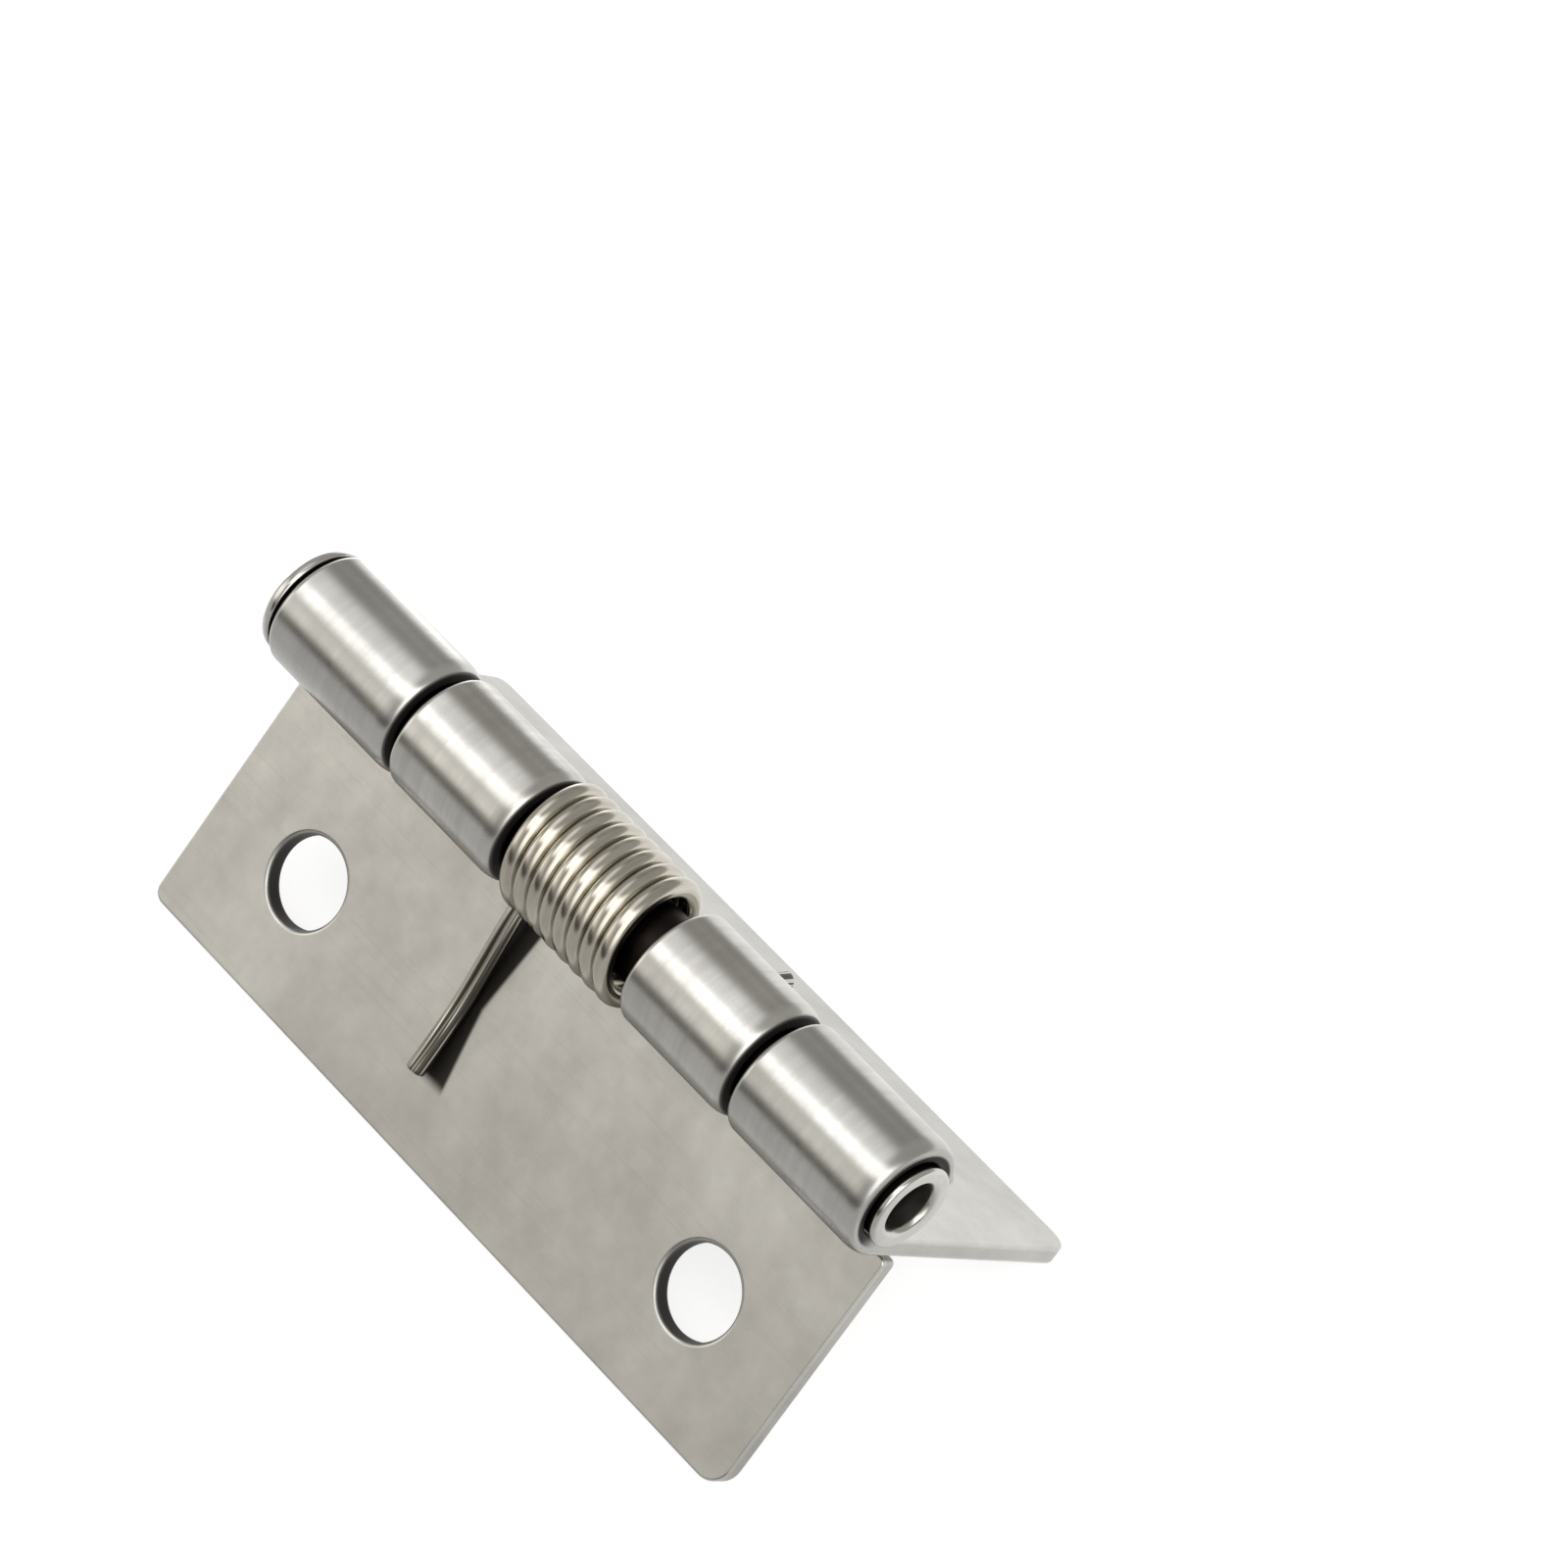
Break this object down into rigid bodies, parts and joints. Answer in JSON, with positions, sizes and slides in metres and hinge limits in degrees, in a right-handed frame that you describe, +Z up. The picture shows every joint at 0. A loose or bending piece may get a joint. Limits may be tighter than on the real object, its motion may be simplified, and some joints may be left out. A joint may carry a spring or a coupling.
{
  "type": "spring butt hinge",
  "caption": "Sheet-metal spring hinge: rolled-knuckle leaves on a tubular pin, with a torsion spring between the inner knuckles that closes them to a right angle.",
  "frame": {"origin": "on the ground, below the middle of the pin", "axes": "+X along the pin away from its head, +Z up with the hinge standing like a tent on the leaves' free edges, the front leaf sloping down to -Y and the rear leaf to +Y"},
  "size_m": [0.0516, 0.0248, 0.0207],
  "materials": {
    "leaf_sheet": "satin nickel or bare stainless, with polished knuckles",
    "pin_metal": "bright",
    "spring_wire": "bright drawn wire with a faint yellow tint"
  },
  "bodies": {
    "front": {"front_leaf": "leaf_sheet", "torsion_spring": "spring_wire"},
    "rear": {"rear_leaf": "leaf_sheet", "pin": "pin_metal"}
  },
  "joints": [
    {"name": "open", "type": "hinge", "parent": "front", "child": "rear", "pos_m": [0.0001, 0, 0.01676], "axis": [1, 0, 0], "range_deg": [0, 180], "stiffness_Nm_per_rad": 0.1, "springref_deg": -11.46, "deforming": ["torsion_spring"]}
  ]
}
